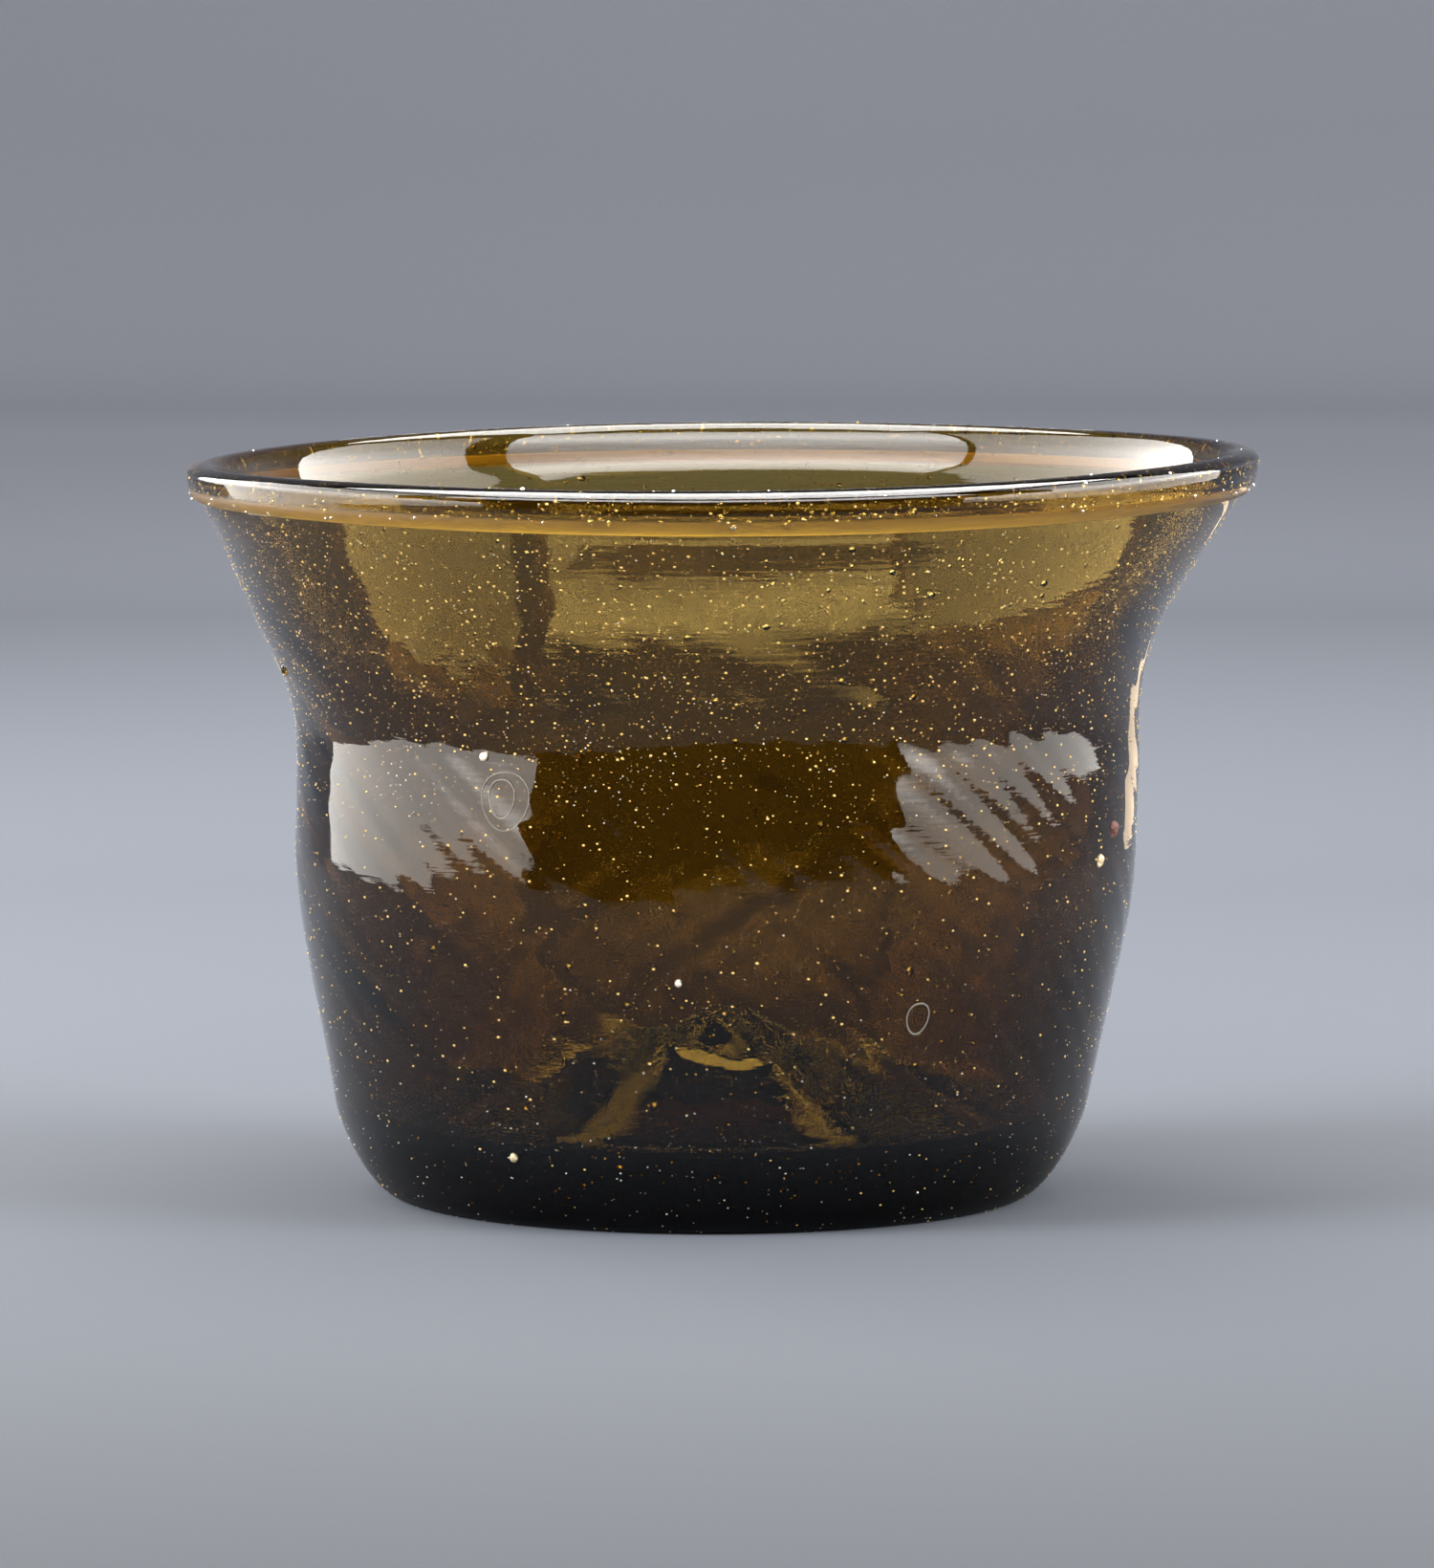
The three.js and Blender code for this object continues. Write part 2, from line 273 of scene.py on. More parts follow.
RING_MARKS = ((-119.3, 43.8, 2.6, 3), (-60.4, 22, 1.2, 1.6), (-119.8, 44, 1.4, 2))
MARK_THICKNESS = 0.07
MARK_PROUD_SHARE = 0.6
MARK_SUNK_SHARE = 0.1
MARK_UNEVEN = 0.04
MARK_POINTS = 64
MARK_SIDES = 8

# Bubbles and specks: length and flatness of their form, how rare large specks are, and the room that
# a bubble keeps to the faces of the glass, in times its radius

SEED_FORM = (1.15, 1.0)
SPECK_FORM = (1.3, 0.6)
SPECK_RARITY = 2.5
SEED_MARGIN = 1.3

# Rough copies of solids: cuts of each edge, share of the size, share that is rough, and turns of the
# roughness per metre

WAD_ROUGHNESS = (1, 0.99, 0.02, 900)
GRAIN_ROUGHNESS = (2, 0.96, 0.07, 2200)
MERGE_DISTANCE = 0.01 * MM
EDGE_ROUNDING = 0.8

# Real sizes of the patterns in the materials. The level lines are finer up the bowl by the stretch.
# Then the indexes of refraction.

LINE_LENGTH = 10.526 * MM
LINE_STRETCH = 14
WEATHER_SIZE = 8.333 * MM
POWDER_SIZE = 0.6667 * MM
GRAIN_SIZE = 0.3846 * MM
PIT_SIZE = 0.2941 * MM
FIBRE_SIZE = 1.111 * MM
LINE_DEPTH = 0.04 * MM
PIT_DEPTH = 0.1 * MM
GLASS_IOR = 1.51
STONE_IOR = 1.55

# Two limits of a pattern, and what the roughness or tone is at each

GLASS_GLOSS = (0.42, 0.75, 0.015, 0.07)
STONE_GLOSS = (0.3, 0.7, 0.55, 0.85)
FIBRE_TONE = (0, 1, 0.97, 1.03)


def station(radius, height, slope):
    """A point of the outline with its slope in degrees up from level."""
    return radius, height, math.radians(slope)


def inward(outer, wall):
    """The point of the inner face opposite a station of the outer face, passed downwards."""
    radius, height, slope = outer
    return radius - wall * math.sin(slope), height + wall * math.cos(slope), slope + math.pi


def span(start, end, pull, count, far_pull=None):
    """Points of a curve that keeps the slope of both its stations."""
    near = math.dist(start[:2], end[:2])
    far = near * (pull if far_pull is None else far_pull)
    near *= pull
    a, d = np.array(start[:2]), np.array(end[:2])
    b = a + near * np.array([math.cos(start[2]), math.sin(start[2])])
    c = d - far * np.array([math.cos(end[2]), math.sin(end[2])])
    t = np.linspace(0, 1, count + 1)[:, None]
    return a * (1 - t) ** 3 + 3 * b * t * (1 - t) ** 2 + 3 * c * t**2 * (1 - t) + d * t**3


def laid_end_to_end(*spans):
    """One line of points, without the points that two curves share."""
    return np.vstack([spans[0]] + [s[1:] for s in spans[1:]])


def outer_stations(z):
    """Stations of the outer face: heel, waist, neck and lip."""
    return (
        station(z.heel_radius, z.heel_height, HEEL_SLOPE),
        station(z.waist_radius, z.waist_height, WAIST_SLOPE),
        station(z.waist_radius, z.waist_height + z.upright_height, WAIST_SLOPE),
        station(z.crest_radius - z.lip_inset, z.crest_height - z.lip_drop, LIP_SLOPE),
    )


def outer_spans(z):
    """Curves of the outer face, from the standing ring up to the crest."""
    heel, waist, neck, lip = outer_stations(z)
    foot = station(z.foot_radius, 0, 0)
    crest = station(z.crest_radius, z.crest_height, 90)
    return [
        span(foot, heel, HEEL_PULL, HEEL_STEPS),
        span(heel, waist, SIDE_PULL, SIDE_STEPS, UPRIGHT_PULL),
        span(waist, neck, ROUND_PULL, UPRIGHT_STEPS),
        span(neck, lip, UPRIGHT_PULL, FLARE_STEPS, FLARE_PULL),
        span(lip, crest, ROUND_PULL, LIP_STEPS),
    ]


def inner_spans(z):
    """Curves of the inner face, each from its lower end, from the trough up to the crest."""
    walls = (z.heel_wall, z.waist_wall, z.waist_wall, z.lip_wall)
    heel, waist, neck, lip = (inward(one, wall) for one, wall in zip(outer_stations(z), walls))
    trough = station(z.foot_radius - z.ring_width / 2, z.foot_wall, 180)
    crest = station(z.crest_radius, z.crest_height, 180)
    downward = [
        span(crest, lip, ROUND_PULL, CREST_STEPS),
        span(lip, neck, FLARE_PULL, FLARE_STEPS, UPRIGHT_PULL),
        span(neck, waist, ROUND_PULL, UPRIGHT_STEPS),
        span(waist, heel, UPRIGHT_PULL, SIDE_STEPS, SIDE_PULL),
        span(heel, trough, ROUND_PULL, TROUGH_STEPS),
    ]
    return [one[::-1] for one in reversed(downward)]


def outer_face(z):
    """The outer outline of the wall, from the standing ring up to the crest."""
    return laid_end_to_end(*outer_spans(z))


def wall_radius(z, height):
    """The radius of the outer face at a height."""
    line = outer_face(z)
    return np.interp(height, line[:, 1], line[:, 0])


def inner_face(z):
    """The inner outline, from the crest down the wall and over the kick to the axis."""
    return laid_end_to_end(laid_end_to_end(*inner_spans(z))[::-1], span_over_kick(z))


def underside(z):
    """The underside of the kick, from the axis out to the standing ring."""
    top = station(0, z.kick_height, 0)
    foot = station(z.foot_radius - z.ring_width, 0, KICK_FOOT_SLOPE)
    return span(top, foot, KICK_PULL, KICK_STEPS)


def resampled(line, count):
    """The same line with evenly spaced points."""
    run = np.concatenate([[0], np.cumsum(np.linalg.norm(np.diff(line, axis=0), axis=1))])
    even = np.linspace(0, run[-1], count)
    return np.column_stack([np.interp(even, run, line[:, 0]), np.interp(even, run, line[:, 1])])


def middle_of_wall(z):
    """The line halfway between the two faces, from the kick's top to near the crest, and half the
    thickness of the glass at each of its points."""
    pairs = [(underside(z), span_over_kick(z)[::-1])]
    pairs += list(zip(outer_spans(z), inner_spans(z)))
    out = laid_end_to_end(*(resampled(a, MIDDLE_POINTS) for a, _ in pairs))
    into = laid_end_to_end(*(resampled(b, MIDDLE_POINTS) for _, b in pairs))
    return (out + into) / 2, np.linalg.norm(out - into, axis=1) / 2


def span_over_kick(z):
    """The floor over the kick, from the trough to the axis."""
    trough = station(z.foot_radius - z.ring_width / 2, z.foot_wall, 180)
    top = station(0, z.kick_height + z.kick_wall, 180)
    return span(trough, top, TROUGH_PULL, KICK_STEPS, DOME_PULL)


def by_hand(z, p):
    """Moves points of a true round bowl to where the hand-made one has them."""
    fold_radius = z.crest_radius + z.fold_thickness
    share = p[:, 2] / z.crest_height
    angle = np.arctan2(p[:, 1], p[:, 0])
    radius_share = np.hypot(p[:, 0], p[:, 1]) / fold_radius
    fullest_share = 1 - FOLD_FULLEST_DROP / z.crest_height
    rise = MOUTH_RISE * (p[:, 0] / fold_radius) * share**MOUTH_RISE_POWER
    wave = np.cos(MOUTH_WAVER_TURNS * angle + MOUTH_WAVER_TURN)
    waver = MOUTH_WAVER * wave * radius_share * share**MOUTH_WAVER_POWER
    oval = MOUTH_OVAL * np.cos(2 * angle) * radius_share * share**MOUTH_RISE_POWER
    near_sag = np.exp(-(((p[:, 2] - FLARE_SAG_HEIGHT) / FLARE_SAG_REACH) ** 2))
    lean = FOOT_LEAN * (1 - share / fullest_share)
    x = p[:, 0] + oval * np.cos(angle) - FLARE_SAG * near_sag + lean
    return np.column_stack([x, p[:, 1] + oval * np.sin(angle), p[:, 2] + rise + waver])


# Fine unevenness of the blown surface


def waves(seed, turns, drops, angle, height):
    """Smooth waves with whole numbers of turns round the bowl and given lengths up it, from -1 to 1."""
    rng = np.random.default_rng(seed)
    total = np.zeros_like(angle)
    for turn, drop in zip(turns, drops):
        phase = rng.uniform(0, 2 * math.pi)
        slow = WANDER * np.sin(WANDER_TURNS * angle + rng.uniform(0, 6) + height / WANDER_DROP)
        total += np.sin(turn * angle + height * 2 * math.pi / (drop * MM) + phase + slow)
    return total / math.sqrt(len(turns))


def between(height, low, high, soft):
    """1 between two heights and 0 outside them, with soft ends."""
    rise = 1 / (1 + np.exp(-(height - low) / soft))
    fall = 1 / (1 + np.exp((height - high) / soft))
    return rise * fall


def unevenness(look, side, angle, radius, height):
    """How far each point of the outer face, inner face or dome is pushed out of the true surface."""
    body = between(height, *RIPPLED_BAND)
    if side == OUTER:
        right = 0.5 + 0.5 * np.cos(angle + FINE_BEARING)
        fine = FINE_SHARE * waves(*FINE_WAVES, angle, height)
        spiral = SPIRAL_SHARE * waves(*SPIRAL_WAVES, angle, height)
        broad = BROAD_SHARE * waves(*BROAD_WAVES, angle, height)
        front = np.clip(-np.sin(angle), 0, 1) ** 2 * between(height, *NECK_DENT_BAND)
        return look.ripple * body * (spiral + right * (fine - spiral) + broad) - NECK_DENT * front
    if side == INNER:
        spiral = INNER_SPIRAL_SHARE * waves(*INNER_SPIRAL_WAVES, angle, height)
        broad = INNER_BROAD_SHARE * waves(*INNER_BROAD_WAVES, angle, height)
        return look.ripple * body * (spiral + broad)
    ring_radius = DOME_RING_RADIUS + DOME_RING_SHIFT * np.cos(angle)
    ring = np.exp(-(((radius - ring_radius) / DOME_RING_WIDTH) ** 2))
    swing = DOME_RING_SHARE - DOME_RING_SWING * np.sin(angle - DOME_RING_TURN)
    return DOME_RING_HEIGHT * ring * swing * np.clip(radius / DOME_RING_CLEAR, 0, 1)


# Meshes


def grid_faces(rows, columns, first, wrap_rows=False):
    """Quads of a grid that closes round its columns, and round its rows where asked."""
    r = np.arange(rows if wrap_rows else rows - 1)
    c = np.arange(columns)
    rr, cc = np.meshgrid(r, c, indexing="ij")
    up = (rr + 1) % rows
    on = (cc + 1) % columns
    quad = np.stack([rr * columns + cc, rr * columns + on, up * columns + on, up * columns + cc], -1)
    return (first + quad.reshape(-1, 4)).tolist()


def placed(name, data):
    """A new object of the scene, with the given data."""
    made = bpy.data.objects.new(name, data)
    bpy.context.scene.collection.objects.link(made)
    return made


def smooth_mesh(name, points, faces):
    """A smooth-shaded object whose place is in its mesh."""
    mesh = bpy.data.meshes.new(name)
    mesh.from_pydata(np.asarray(points).tolist(), [], faces)
    mesh.validate()
    mesh.polygons.foreach_set("use_smooth", np.ones(len(mesh.polygons), bool))
    mesh.update()
    return placed(name, mesh)


def full_turn(count):
    """Evenly spaced angles all the way round."""
    return np.linspace(0, 2 * math.pi, count, endpoint=False)


def outward(line):
    """Unit normals of an outline, to the right of the way it runs."""
    step = np.gradient(line, axis=0)
    normal = np.column_stack([step[:, 1], -step[:, 0]])
    return normal / np.linalg.norm(normal, axis=1)[:, None]


def round_about(line, push=None):
    """The points that an outline sweeps round the axis, ring by ring, pushed out along its normals."""
    normal = outward(line)
    rr, aa = np.meshgrid(np.arange(len(line)), full_turn(COLUMNS), indexing="ij")
    rr, aa = rr.ravel(), aa.ravel()
    out = np.zeros(len(rr)) if push is None else push(rr, aa)
    radius = line[rr, 0] + out * normal[rr, 0]
    height = line[rr, 1] + out * normal[rr, 1]
    return np.column_stack([radius * np.cos(aa), radius * np.sin(aa), height])


def finish_piece(piece, material, slot, *nodes):
    """Gives a piece its material and its body, and hides the solids that it stands for. The slot is not
    used.
    """
    piece.data.materials.clear()
    piece.data.materials.append(material)
    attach(piece, BODY)
    if nodes:
        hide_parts(*nodes)


# Materials


def node(tree, kind, settings=None, **links):
    """Adds a node with its settings, its values and its links."""
    made = tree.nodes.new(kind)
    for name, value in (settings or {}).items():
        setattr(made, name, value)
    for name, value in links.items():
        numbered = name[0] == "i" and name[1:].isdigit()
        socket = made.inputs[int(name[1:]) if numbered else name.replace("_", " ")]
        if isinstance(value, bpy.types.NodeSocket):
            tree.links.new(value, socket)
        else:
            socket.default_value = value
    return made


def new_material(name):
    """An empty material with its output node."""
    material = bpy.data.materials.new(name)
    material.use_nodes = True
    material.node_tree.nodes.clear()
    output = material.node_tree.nodes.new("ShaderNodeOutputMaterial")
    return material, material.node_tree, output


def object_coordinates(tree, scale=(1, 1, 1)):
    """Object coordinates in metres, stretched by a scale along each axis."""
    coordinates = node(tree, "ShaderNodeTexCoord")
    return node(tree, "ShaderNodeMapping", Vector=coordinates.outputs["Object"], Scale=scale).outputs[0]


def pattern(tree, place, size, detail):
    """A noise whose patches have a real size in metres."""
    return node(tree, "ShaderNodeTexNoise", Vector=place, Scale=1 / size, Detail=detail).outputs["Fac"]


def combined(tree, operation, first, second):
    """Two numbers brought together by an operation."""
    return node(tree, "ShaderNodeMath", {"operation": operation}, i0=first, i1=second).outputs[0]


def scaled(tree, vector, share):
    """A vector or colour times a share."""
    return node(tree, "ShaderNodeVectorMath", {"operation": "SCALE"}, i0=vector, Scale=share).outputs[0]


def ranged(tree, value, low, high, first=0, last=1):
    """A value that lies between two limits, brought between two others."""
    return node(
        tree, "ShaderNodeMapRange", Value=value, From_Min=low, From_Max=high, To_Min=first, To_Max=last
    ).outputs["Result"]


def graded(tree, value, grades):
    """A share that changes with a value through a list of stops, each a value and its share."""
    low, high = grades[0][0], grades[-1][0]
    grade = node(tree, "ShaderNodeValToRGB", Fac=ranged(tree, value, low, high))
    stops = grade.color_ramp.elements
    stops[0].color, stops[1].color = [(share, share, share, 1) for share in (grades[0][1], grades[-1][1])]
    for place, share in grades[1:-1]:
        stops.new((place - low) / (high - low)).color = (share, share, share, 1)
    return grade.outputs[0]


def mottled(tree, share, colour, dark_share):
    """A colour that is darker where the share is low."""
    dark = tuple(c * dark_share for c in colour)
    return node(
        tree, "ShaderNodeMix", {"data_type": "RGBA"}, i0=share, i6=(*dark, 1), i7=(*colour, 1)
    ).outputs[2]


def blown_amber_glass(look, name, dull_grades=None):
    """Soda-lime glass coloured olive-amber by iron, free-blown and fire-polished.

    The eye sees a clear dark amber that deepens with thickness, a wet gloss, and faint level
    tooling lines and softer patches where the surface has weathered. The dull grades give the
    least roughness at heights."""
    material, tree, output = new_material(name)
    place = object_coordinates(tree)
    level_lines = pattern(tree, object_coordinates(tree, (1, 1, LINE_STRETCH)), LINE_LENGTH, 3)
    roughness = ranged(tree, pattern(tree, place, WEATHER_SIZE, 4), *GLASS_GLOSS)
    if dull_grades:
        height = node(tree, "ShaderNodeSeparateXYZ", Vector=place).outputs["Z"]
        roughness = combined(tree, "MAXIMUM", roughness, graded(tree, height, dull_grades))
    bump = node(tree, "ShaderNodeBump", Height=level_lines, Strength=0.35, Distance=LINE_DEPTH)
    skin = node(
        tree, "ShaderNodeBsdfPrincipled", Base_Color=(*linear("FFFCF3"), 1), IOR=GLASS_IOR,
        Transmission_Weight=1.0, Specular_IOR_Level=0.42, Roughness=roughness, Normal=bump.outputs["Normal"],
    )
    depth = node(
        tree, "ShaderNodeVolumeAbsorption", Color=(*look.glass_tint, 1), Density=look.glass_density
    )
    tree.links.new(skin.outputs[0], output.inputs["Surface"])
    tree.links.new(depth.outputs[0], output.inputs["Volume"])
    return material


def trapped_air(name):
    """Air bubble in the glass: light passes from glass to air and back, so the index is below one."""
    material, tree, output = new_material(name)
    skin = node(tree, "ShaderNodeBsdfGlass", Color=(1, 1, 1, 1), Roughness=0.0, IOR=1 / GLASS_IOR)
    tree.links.new(skin.outputs[0], output.inputs["Surface"])
    return material


def dried_lime(name, colour, dark_share):
    """Dried lime and dust in burst seed: a dull, powdery, uneven off-white. Given a warm gold, it is partly
    painted glint of the seed.
    """
    material, tree, output = new_material(name)
    powder = pattern(tree, object_coordinates(tree), POWDER_SIZE, 2)
    tone = mottled(tree, powder, colour, dark_share)
    skin = node(tree, "ShaderNodeBsdfPrincipled", Base_Color=tone, Roughness=0.9)
    tree.links.new(skin.outputs[0], output.inputs["Surface"])
    return material


def unmelted_stone(name, colour, dark_share):
    """Unmelted batch stone: a dry, chalky, mottled grain with fine pits."""
    material, tree, output = new_material(name)
    place = object_coordinates(tree)
    grain = pattern(tree, place, GRAIN_SIZE, 6)
    pits = node(tree, "ShaderNodeTexVoronoi", Vector=place, Scale=1 / PIT_SIZE)
    bump = node(tree, "ShaderNodeBump", Height=pits.outputs["Distance"], Strength=0.6, Distance=PIT_DEPTH)
    skin = node(
        tree, "ShaderNodeBsdfPrincipled", Base_Color=mottled(tree, grain, colour, dark_share),
        Roughness=ranged(tree, grain, *STONE_GLOSS), Normal=bump.outputs["Normal"], IOR=STONE_IOR,
    )
    tree.links.new(skin.outputs[0], output.inputs["Surface"])
    return material


def studio_paper(name, colour):
    """Matt background paper with a faint fibre, with painted shade: darker towards its front edge and at its
    sides.

    Round the foot it is darker in reflections only: painted shade that the bowl's base mirrors."""
    material, tree, output = new_material(name)
    place = object_coordinates(tree)
    across, back = node(tree, "ShaderNodeSeparateXYZ", Vector=place).outputs[:2]
    fibre = ranged(tree, pattern(tree, place, FIBRE_SIZE, 3), *FIBRE_TONE)
    toned = scaled(tree, graded(tree, back, PAPER_PAINTED_SHADE), fibre)
    tone = node(tree, "ShaderNodeVectorMath", {"operation": "MULTIPLY"}, i0=toned, i1=colour).outputs[0]
    even = scaled(tree, tone, graded(tree, across, PAPER_PAINTED_SIDE_SHADE))
    reach = node(tree, "ShaderNodeVectorMath", {"operation": "LENGTH"}, i0=place).outputs["Value"]
    mirrored = node(tree, "ShaderNodeLightPath").outputs["Is Glossy Ray"]
    shaded = node(
        tree, "ShaderNodeMix", {"data_type": "FLOAT"}, i0=mirrored, i2=1, i3=graded(tree, reach, FOOT_SHADE)
    )
    skin = node(
        tree, "ShaderNodeBsdfPrincipled", Base_Color=scaled(tree, even, shaded.outputs[0]), Roughness=0.9,
        Specular_IOR_Level=0.2,
    )
    tree.links.new(skin.outputs[0], output.inputs["Surface"])
    return material


# Geometry nodes

SCATTER_INPUTS = {
    "Geometry": "Geometry", "Density": "Float", "Seed": "Int", "Place seed": "Int", "Smallest": "Float",
    "Largest": "Float", "Rarity": "Float", "Length": "Float", "Flatness": "Float", "Fineness": "Int",
    "Material": "Material",
}


def carried(tree, name):
    """A number that each point of the sheet carries."""
    return node(tree, "GeometryNodeInputNamedAttribute", {"data_type": "FLOAT"}, Name=name).outputs[0]


def chance(tree, low, high, seed):
    """A random number for each point."""
    made = node(tree, "FunctionNodeRandomValue", {"data_type": "FLOAT"}, i2=low, i3=high, Seed=seed)
    return made.outputs[1]


def scatter_tree(name):
    """Scatters round bodies over a sheet, as deep in it as its glass is thick, and makes them real."""
    tree = bpy.data.node_groups.new(name, "GeometryNodeTree")
    tree.interface.new_socket("Geometry", in_out="OUTPUT", socket_type="NodeSocketGeometry")
    for label, kind in SCATTER_INPUTS.items():
        tree.interface.new_socket(label, in_out="INPUT", socket_type="NodeSocket" + kind)
    given = node(tree, "NodeGroupInput").outputs
    dense = combined(tree, "MULTIPLY", carried(tree, "weight"), given["Density"])
    spread = node(
        tree, "GeometryNodeDistributePointsOnFaces", Mesh=given["Geometry"], Density=dense,
        Seed=given["Seed"],
    ).outputs
    rare = combined(tree, "POWER", chance(tree, 0, 1, given["Seed"]), given["Rarity"])
    size = ranged(tree, rare, 0, 1, given["Smallest"], given["Largest"])
    margin = combined(tree, "MULTIPLY", size, SEED_MARGIN)
    room = combined(tree, "SUBTRACT", carried(tree, "half_wall"), margin)
    kept = combined(tree, "MAXIMUM", room, 0)
    deep = combined(tree, "MULTIPLY", kept, chance(tree, -1, 1, given["Place seed"]))
    shift = scaled(tree, spread["Normal"], deep)
    moved = node(tree, "GeometryNodeSetPosition", Geometry=spread["Points"], Offset=shift)
    ball = node(tree, "GeometryNodeMeshIcoSphere", Radius=1, Subdivisions=given["Fineness"])
    form = node(tree, "ShaderNodeCombineXYZ", X=given["Length"], Y=1, Z=given["Flatness"]).outputs[0]
    bodies = node(
        tree, "GeometryNodeInstanceOnPoints", Points=moved.outputs[0], Instance=ball.outputs["Mesh"],
        Rotation=spread["Rotation"], Scale=scaled(tree, form, size),
    )
    real = node(tree, "GeometryNodeRealizeInstances", Geometry=bodies.outputs[0])
    smooth = node(tree, "GeometryNodeSetShadeSmooth", Geometry=real.outputs[0])
    last = node(tree, "GeometryNodeSetMaterial", Geometry=smooth.outputs[0], Material=given["Material"])
    node(tree, "NodeGroupOutput", Geometry=last.outputs[0])
    return tree


def scattered(name, sheet, density, seed, sizes, rarity, form, fineness, material):
    """A plain mesh of the bodies that the scatter tree makes on a sheet. The sheet is used up."""
    settings = {
        "Density": density, "Seed": seed, "Place seed": seed + 1, "Smallest": sizes[0] * MM,
        "Largest": sizes[1] * MM, "Rarity": rarity, "Length": form[0], "Flatness": form[1],
        "Fineness": fineness, "Material": material,
    }
    tree = bpy.data.node_groups.get("scatter") or scatter_tree("scatter")
    modifier = sheet.modifiers.new("scatter", "NODES")
    modifier.node_group = tree
    for item in tree.interface.items_tree:
        if item.in_out == "INPUT" and item.name in settings:
            modifier[item.identifier] = settings[item.name]
    graph = bpy.context.evaluated_depsgraph_get()
    graph.update()
    mesh = bpy.data.meshes.new_from_object(sheet.evaluated_get(graph))
    mesh.name = name
    bpy.data.objects.remove(sheet)
    return placed(name, mesh)


def sheet_of_rings(name, points, half_wall=0, weight=1):
    """A sheet that carries the glass's half thickness and the share of bodies at each point."""
    sheet = smooth_mesh(name, points, grid_faces(len(points) // COLUMNS, COLUMNS, 0))
    for label, values in (("half_wall", half_wall), ("weight", weight)):
        field = np.full(len(points), values, np.float32)
        sheet.data.attributes.new(label, "FLOAT", "POINT").data.foreach_set("value", field)
    return sheet


# Operators


class BOWL_OT_wall(bpy.types.Operator):
    """Blow the wall: underside, outer face, rounded crest, inner face and the floor over the kick"""

    bl_idname = "bowl.wall"
    bl_label = "Blown wall"

    def execute(self, context):
        z, look = context.scene.bowl_sizes, context.scene.bowl_glass
        under, outside, dome = underside(z), outer_face(z), span_over_kick(z)
        inside = inner_face(z)[1 : -len(dome)]
        line = np.vstack([under, outside, inside, dome])
        lengths = (len(under), len(outside), len(inside), len(dome))
        side = np.repeat([UNDER, OUTER, INNER, DOME], lengths)
        rings = line[1:-1]

        def push(row, angle):
            out = np.zeros(len(row))
            for one in (OUTER, INNER, DOME):
                here = side[1:-1][row] == one
                out[here] = unevenness(look, one, angle[here], rings[row[here], 0], rings[row[here], 1])
            return out

        swept = round_about(rings, push)
        poles = np.array([[0, 0, line[0, 1]], [0, 0, line[-1, 1]]])
        points = by_hand(z, np.vstack([swept, poles]))
        faces = grid_faces(len(rings), COLUMNS, 0)
        low, high = len(swept), len(swept) + 1
        last = (len(rings) - 1) * COLUMNS
        for c in range(COLUMNS):
            on = (c + 1) % COLUMNS
            faces.append([low, on, c])
            faces.append([high, last + c, last + on])
        wall = smooth_mesh("bowl_wall_glass", points, faces)
        finish_piece(wall, blown_amber_glass(look, "blown_amber_glass"), "amber_glass", "bowl_wall")
        return {"FINISHED"}


class BOWL_OT_rim_fold(bpy.types.Operator):
    """Turn the lap of the rim out and down, fused at the crest and open at its lower seam"""

    bl_idname = "bowl.rim_fold"
    bl_label = "Rim lap"

    def execute(self, context):
        z, look = context.scene.bowl_sizes, context.scene.bowl_glass
        seam_low = z.crest_height - z.fold_height + FOLD_EDGE_RADIUS

        def against(height):
            depth = np.clip((height - seam_low) / (z.fold_height * FOLD_FUSED_SHARE), 0, 1)
            return wall_radius(z, height) + z.seam_gap + (FOLD_FUSED - z.seam_gap) * depth

        bottom = z.crest_height - z.fold_height
        top = station(against(z.crest_height), z.crest_height, 0)
        fullest = z.crest_radius + z.fold_thickness
        shoulder = station(fullest, z.crest_height - FOLD_SHOULDER_DROP, SHOULDER_SLOPE)
        belly = station(fullest - FOLD_BELLY_INSET, z.crest_height - FOLD_BELLY_DROP, BELLY_SLOPE)
        edge = station(against(bottom) + FOLD_EDGE_RADIUS, bottom, FOLD_EDGE_SLOPE)
        inside = station(against(seam_low), seam_low, 90)
        heights = np.linspace(seam_low, z.crest_height, INSIDE_POINTS)[:-1]
        outline = laid_end_to_end(
            span(top, shoulder, SHOULDER_PULL, SHOULDER_STEPS),
            span(shoulder, belly, ROUND_PULL, FRONT_STEPS),
            span(belly, edge, ROUND_PULL, BELLY_STEPS),
            span(edge, inside, ROUND_PULL, EDGE_STEPS),
            np.column_stack([against(heights), heights]),
        )
        fold = lap_ring(z, "rim_fold_glass", outline[::-1])
        dull_top = z.crest_height - LAP_DULL_DROP
        dull = ((dull_top - LAP_DULL_REACH, LAP_DULL), (dull_top, LAP_DULL), (dull_top + LAP_DULL_FADE, 0))
        finish_piece(fold, blown_amber_glass(look, "lap_amber_glass", dull), "amber_glass", "rim_fold")
        earth = dried_lime("seam_earth", tuple(look.earth), EARTH_DARK_SHARE)
        finish_piece(seam_earth(z), earth, "cream_stone")
        return {"FINISHED"}


def lap_ring(z, name, outline):
    """A ring with a closed outline that hangs as the lap hangs."""
    points = by_hand(z, lapped(z, round_about(outline)))
    return smooth_mesh(name, points, grid_faces(len(outline), COLUMNS, 0, True))


